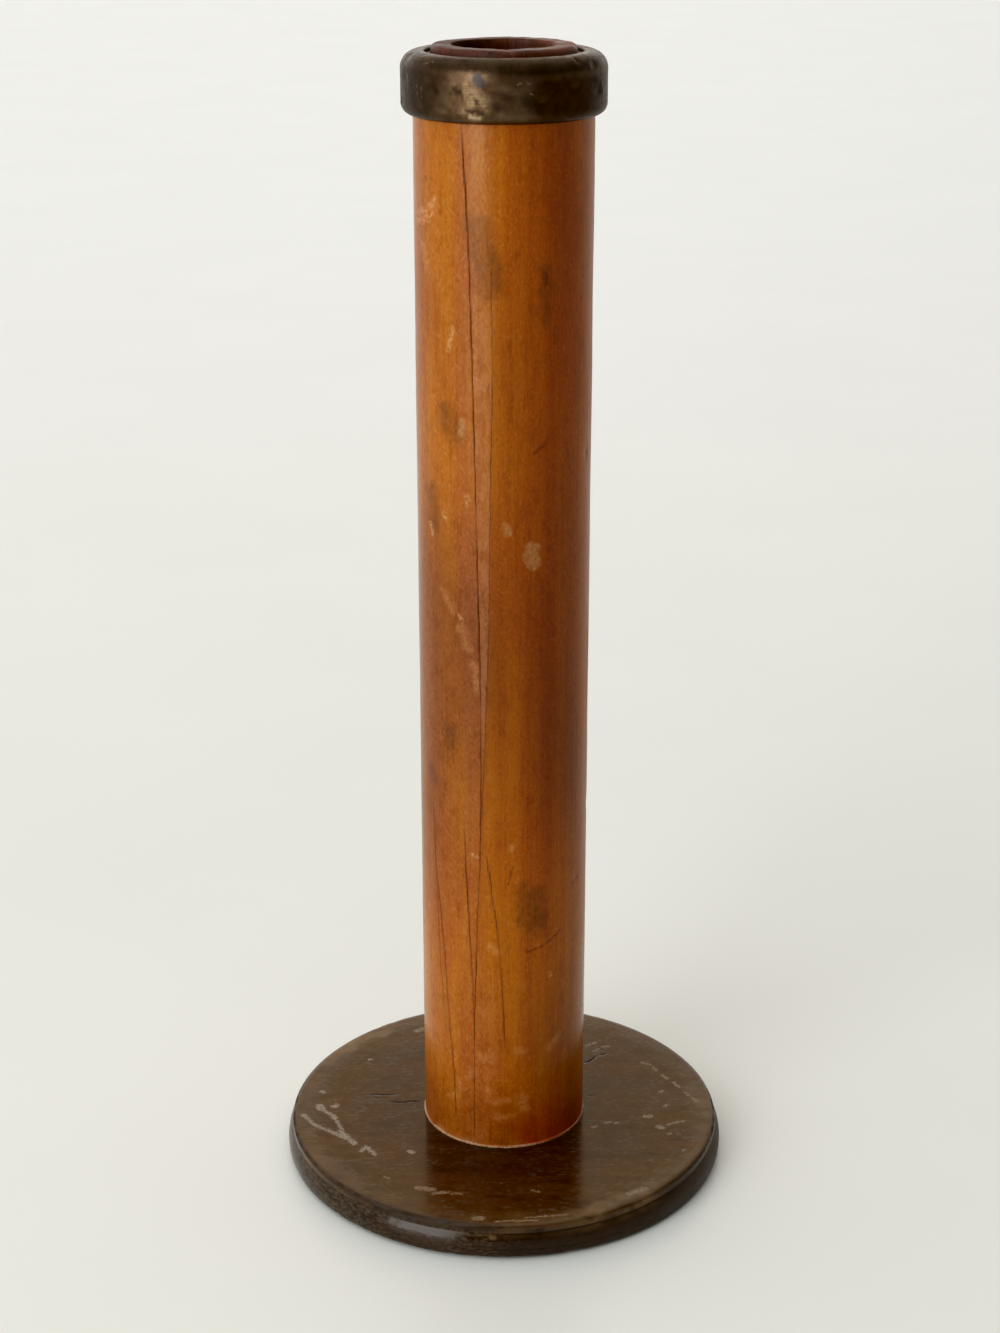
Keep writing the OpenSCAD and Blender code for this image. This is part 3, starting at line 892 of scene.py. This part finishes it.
def head_material():
    """Dark stained ply under worn gloss varnish, with paint splashes, checks and rubbed edges."""
    material, g = new_material("head_wood")
    place = g.place()
    x, y, z = g.split(place)
    flat = g.join(x, y)
    radius = g.add("ShaderNodeVectorMath", {0: flat}, "Value", operation="LENGTH")
    rough_flat = g.ragged(flat, 1.0, 1.5)
    top = g.band(z, HEAD_TOP - 0.9, HEAD_TOP - 0.3)
    side = g.band(z, HEAD_TOP - 0.6, HEAD_TOP - 2.2)

    grain = g.noise(place, 0.9, (24, 1, 1), 3.0)
    broad = g.noise(place, 7, (5, 1, 1), 3.0, 4.0)
    lathe = g.noise(g.join(radius, g.times(broad, 2.0)), 0.7, (1, 9, 1), 2.0)
    dust = g.noise(place, 0.9, (1.8, 1, 1), 4.0, 9.0)
    cloud = g.noise(place, 12, detail=4.0, shift=2.0)
    film = g.noise(place, 3.2, (1.8, 1, 1), 5.0, 13.0)
    near_rim = g.band(g.plus(radius, g.times(film, 6.0)), TOP_PLY_R - 7, TOP_PLY_R + 1)
    near_rim = g.times(near_rim, top)

    g.colour = g.mix(g.band(broad, 0.34, 0.68), paint(50, 21, 4), paint(64, 33, 7))
    g.tint(g.band(grain, 0.5, 0.72, 0, 0.45), 160, 146, 132)
    g.cover(g.band(lathe, 0.54, 0.72, 0, 0.14), 96, 70, 34)
    g.tint(g.band(cloud, 0.42, 0.66, 0, 0.5), 214, 206, 196)
    g.tint(g.band(z, HEAD_TOP - 0.4, HEAD_TOP - 1.8), 184, 166, 150)
    g.cover(g.times(near_rim, 0.2), 88, 68, 27)
    g.cover(g.times(g.band(radius, 30, 46, 0, 0.14), top), 92, 66, 22)
    blotches = g.plus(g.times(cloud, 0.5), g.times(film, 0.5))
    worn = g.times(g.value("worn"), g.band(blotches, 0.4, 0.6, 0.25, 1.0))
    g.cover(g.times(worn, 0.75), 130, 103, 66)
    # Pale dust on the rim's side, brightest at the front left as a painted highlight.
    pale_dust_and_highlight = g.band(g.noise(place, 1.4, (1, 1, 0.4), 5.0, 19.0), 0.36, 0.7)
    pale_dust_and_highlight = g.times(pale_dust_and_highlight, side, g.value("dust_and_highlight"))
    g.cover(g.times(pale_dust_and_highlight, 0.32), 114, 102, 76)
    dusty = g.times(g.band(dust, 0.4, 0.75), g.band(film, 0.4, 0.62, 0.2, 1.0), top)
    g.cover(g.times(dusty, 0.2), 104, 108, 104)
    g.tint(g.band(film, 0.46, 0.3, 0, 0.6), 170, 156, 142)

    patchy = g.times(top, g.band(g.noise(place, 0.6, detail=4.0, shift=6.0), 0.34, 0.62, 0.3, 1.0))
    splash = g.times(g.strokes(rough_flat, HEAD_PAINT, 0.55), patchy)
    specks = g.times(g.strokes(rough_flat, HEAD_SPECKS, 0.5), patchy)
    dirt_and_shade = g.times(g.value("dirt_and_shade"), g.band(film, 0.34, 0.56, 0.3, 1.0))
    edge = g.times(g.value("edge"), g.band(film, 0.36, 0.6, 0.6, 1.0))
    check = g.value("check")
    g.cover(g.times(splash, 0.58), 176, 164, 146)
    g.cover(g.times(specks, 0.46), 170, 152, 126)
    # Dirt in the seams, a darker ring round the barrel's foot, and painted shade low on the rim.
    g.cover(g.times(dirt_and_shade, 0.8), 18, 9, 4)
    g.cover(g.times(edge, 0.7), 22, 12, 5)
    g.cover(check, 16, 8, 3)

    rough = g.band(cloud, 0.3, 0.7, 0.1, 0.18)
    marked = g.most(splash, specks, g.times(worn, 0.5), g.times(dusty, 0.4))
    rough = g.plus(rough, g.times(marked, 0.4), g.times(near_rim, 0.14))
    rough = g.plus(rough, g.times(side, g.value("matt"), 0.3), g.times(pale_dust_and_highlight, 0.12))
    rough = g.most(rough, g.times(g.most(check, dirt_and_shade), 0.9), g.times(edge, 0.8))
    height = g.plus(g.times(g.plus(grain, lathe), 0.5), g.times(g.plus(dust, film), 0.3))
    normal = g.bump(g.plus(height, g.times(pale_dust_and_highlight, 0.4)), 0.015)
    normal = g.bump(splash, 0.05, normal)
    g.surface({"Roughness": rough, "Normal": normal, "IOR": 1.42})
    return material


def collar_material():
    """Spun sheet brass under dark olive-brown tarnish, bare where it has been rubbed, with painted highlights
    at the front and painted shade on the right, top and left.
    """
    material, g = new_material("collar_brass")
    place = g.place()
    wall = unrolled(g, place, COLLAR_R)
    rough_wall = g.ragged(wall, 1.5, 2.2)
    z = g.split(place)[2]

    spun = g.noise(g.join(g.times(g.split(wall)[0], 0.03), z), 0.3)
    patches = g.noise(place, 4.0, detail=4.0, shift=3.0)
    hue = g.noise(place, 3.0, detail=3.0, shift=17.0)
    specks = g.noise(place, 1.0, detail=3.0, shift=8.0)
    g.colour = g.mix(g.band(patches, 0.35, 0.65), paint(79, 60, 44), paint(98, 79, 63))
    g.cover(g.band(hue, 0.52, 0.68, 0, 0.5), 84, 78, 54)
    g.cover(g.band(hue, 0.46, 0.32, 0, 0.5), 82, 60, 54)
    g.cover(g.band(specks, 0.55, 0.75, 0, 0.4), 58, 40, 29)
    # Painted shade on the collar's right side.
    g.tint(g.value("collar_right_shade"), 168, 141, 122)
    # Painted shade on the collar's top rounding and left side.
    g.tint(g.value("collar_top_and_left_shade"), 180, 178, 174)
    # Bare brass, which at the front is also a painted highlight.
    bare = g.strokes(rough_wall, on_wall(COLLAR_BARE_AND_HIGHLIGHT, COLLAR_R), 1.4)
    bare = g.times(bare, g.band(g.plus(g.times(specks, 0.75), g.times(spun, 0.25)), 0.34, 0.64))
    # Rubbed edges and dings show bare brass, and so does the painted highlight on the lip.
    bare = g.most(bare, g.times(g.value("rubbed"), 0.25))
    dark = g.strokes(rough_wall, on_wall(COLLAR_DARK, COLLAR_R), 0.6)
    torn_wall = g.ragged(wall, 0.9, 1.1)
    scratch = g.strokes(torn_wall, on_wall(COLLAR_SCRATCHES, COLLAR_R), 0.2)
    scratch = g.times(scratch, g.band(specks, 0.4, 0.6))
    spot = g.strokes(torn_wall, on_wall(COLLAR_SPOT, COLLAR_R), 0.4)
    glint = g.strokes(torn_wall, on_wall(COLLAR_GLINT, COLLAR_R), 0.5)
    g.cover(g.times(bare, 0.62), 150, 128, 98)
    g.cover(g.times(dark, 0.6), 42, 32, 27)
    g.cover(g.times(scratch, 0.3), 160, 140, 112)
    g.cover(g.times(spot, 0.8), 60, 62, 66)
    g.cover(g.times(glint, 0.75), 190, 168, 140)

    rough = g.plus(g.band(specks, 0.35, 0.7, 0.38, 0.5), g.times(dark, 0.14))
    normal = g.bump(g.plus(g.times(spun, 0.5), g.times(patches, 0.6)), 0.03)
    normal = g.bump(scratch, -0.03, normal)
    g.surface({"Metallic": 0.92, "Roughness": rough, "Normal": normal})
    return material


def bush_material():
    """Red-brown fibre, rubbed on its lip, with painted shade deeper down the bore and painted light and shade
    from side to side.
    """
    material, g = new_material("bush_fibre")
    place = g.place()
    streak = g.noise(place, 1.2, (1, 1, 14), 3.0)
    cloud = g.noise(place, 5, detail=3.0, shift=4.0)
    fine = g.noise(place, 0.5, shift=2.0)
    g.colour = g.mix(g.band(cloud, 0.35, 0.65), paint(68, 30, 18), paint(94, 48, 34))
    g.tint(g.band(streak, 0.48, 0.7, 0, 0.8), 150, 120, 104)
    rubbed = g.times(g.value("worn"), g.band(fine, 0.45, 0.7))
    g.cover(g.times(rubbed, 0.35), 150, 100, 80)
    # Painted shade, darker deeper in the bores.
    g.tint(g.value("deep"), 160, 140, 120)
    # Painted shade on the left of the bush and painted light on its right.
    x = g.split(place)[0]
    g.tint(g.band(x, 4, -8), 226, 216, 214)
    g.cover(g.band(x, 3, 13, 0, 0.3), 138, 90, 68)
    rough = g.band(cloud, 0.3, 0.7, 0.46, 0.62)
    normal = g.bump(g.plus(g.times(streak, 0.6), g.times(fine, 0.4)), 0.06)
    g.surface({"Roughness": rough, "Normal": normal, "IOR": 1.36})
    return material


def floor_material():
    """Pale smooth table paint with a faint unevenness."""
    material, g = new_material("floor_paint")
    cloud = g.noise(g.place(), 120)
    g.colour = g.mix(g.band(cloud, 0.3, 0.7), paint(225, 228, 223), paint(227, 230, 225))
    g.surface({"Roughness": 0.32})
    return material


# Stage

FLOOR_REACH = 9.0

# The photograph's camera: place in metres, angles in degrees, focal length and height in pixels, and tones
CAMERA_AT = (0.0, -0.53666, 0.33068)
CAMERA_PITCH = 20.352
CAMERA_YAW = -0.104
CAMERA_ROLL = 0.035
FOCAL_PIXELS = 2350.85
IMAGE_HEIGHT = 1333
BLACK_LEVEL = (0.001, 0.004, 0.008)
TONE_CURVE = [(0.02, 0.012), (0.08, 0.062), (0.25, 0.232)]

# Brightness of the room by azimuth, and of its ceiling on the dark and on the light side
ROOM = [
    (-180, 1.15), (-140, 1.12), (-100, 0.85), (-62, 0.6), (-20, 0.1), (40, 0.05), (85, 0.08), (115, 0.2),
    (140, 0.75), (180, 1.15),
]
CEILING = (0.65, 1.4)
LOW_GLOW = 1.48
HORIZON = (0.72, 0.72, 0.7, 1.0)
WARM_WALL = (1.0, 0.78, 0.54, 1.0)

# Window at the front left, with lengths in metres: the height of its middle, and the height it is aimed at
WINDOW_AZIMUTH = -40
WINDOW_DISTANCE = 1.35
WINDOW_MIDDLE = 0.56
WINDOW_SIZE = (0.84, 1.08)
WINDOW_AIM = 0.12
WINDOW_BRIGHTNESS = 4.2


def make_floor():
    """Wide plain floor under the object."""
    mesh = bpy.data.meshes.new("floor")
    corners = [(x * FLOOR_REACH, y * FLOOR_REACH, 0) for x, y in ((-1, -1), (1, -1), (1, 1), (-1, 1))]
    mesh.from_pydata(corners, [], [(0, 1, 2, 3)])
    floor = bpy.data.objects.new("floor", mesh)
    floor.data.materials.append(floor_material())
    bpy.context.scene.collection.objects.link(floor)


def make_room():
    """Soft light from all round: pale walls behind and on the left, and a dim side in front."""
    world = bpy.data.worlds.new("studio")
    world.use_nodes = True
    bpy.context.scene.world = world
    g = Graph(world.node_tree)
    x, y, z = g.split(g.add("ShaderNodeTexCoord", {}, "Generated"))
    azimuth = g.math("ARCTAN2", x, g.times(y, -1.0))
    room = g.add("ShaderNodeValToRGB", {"Fac": g.plus(g.times(azimuth, 0.5 / math.pi), 0.5)})
    ramp = room.node.color_ramp
    while len(ramp.elements) < len(ROOM):
        ramp.elements.new(0.5)
    for stop, (where, bright) in zip(ramp.elements, ROOM):
        stop.position = (where + 180) / 360
        stop.color = (bright, bright, bright, 1)
    warm = g.times(g.band(y, 0.3, 0.7), g.band(z, 0.3, 0.5))
    room = g.mix(warm, room, WARM_WALL, "MULTIPLY")
    glow = g.times(g.band(y, 0.1, 0.5), g.band(z, 0.42, 0.25))
    room = g.mix(glow, room, (LOW_GLOW, LOW_GLOW, LOW_GLOW, 1), "MULTIPLY")
    light_side = g.band(g.plus(g.times(y, 0.6), g.times(x, -0.8)), -0.8, 0.6, *CEILING)
    ceiling = g.join(light_side, light_side, light_side)
    light = g.mix(g.band(z, 0.58, 0.82), room, ceiling)
    light = g.mix(g.band(z, 0.13, 0.04), light, HORIZON)
    background = g.add("ShaderNodeBackground", {"Color": light, "Strength": 1.0})
    g.add("ShaderNodeOutputWorld", {"Surface": background})


def make_window():
    """Flat soft light that faces the object."""
    data = bpy.data.lights.new("window", "AREA")
    data.shape = "RECTANGLE"
    data.size, data.size_y = WINDOW_SIZE
    data.energy = WINDOW_BRIGHTNESS * math.pi * data.size * data.size_y
    light = bpy.data.objects.new("window", data)
    light.location = (*flat_place(WINDOW_AZIMUTH, WINDOW_DISTANCE), WINDOW_MIDDLE)
    aim = Vector((0, 0, WINDOW_AIM)) - light.location
    light.rotation_euler = aim.to_track_quat("-Z", "Y").to_euler()
    light.visible_camera = False
    bpy.context.scene.collection.objects.link(light)


def make_camera():
    data = bpy.data.cameras.new("camera")
    data.lens = data.sensor_width * FOCAL_PIXELS / IMAGE_HEIGHT
    camera = bpy.data.objects.new("camera", data)
    pitch, yaw = CAMERA_PITCH * DEG, CAMERA_YAW * DEG
    ahead = Vector((math.sin(yaw) * math.cos(pitch), math.cos(yaw) * math.cos(pitch), -math.sin(pitch)))
    camera.location = CAMERA_AT
    camera.rotation_mode = "QUATERNION"
    camera.rotation_quaternion = Quaternion(ahead, CAMERA_ROLL * DEG) @ ahead.to_track_quat("-Z", "Y")
    bpy.context.scene.collection.objects.link(camera)
    bpy.context.scene.camera = camera
    set_contrast()


def set_contrast():
    """Plain sRGB picture with slightly deeper darks, as a phone's camera makes it."""
    view = bpy.context.scene.view_settings
    view.view_transform = "Standard"
    view.use_curve_mapping = True
    all_channels = view.curve_mapping.curves[3]
    for light, shown in TONE_CURVE:
        all_channels.points.new(light, shown)
    view.curve_mapping.black_level = BLACK_LEVEL
    view.curve_mapping.update()


make_barrel()
make_head()
make_collar()
make_bushes()
make_floor()
make_room()
make_window()
make_camera()
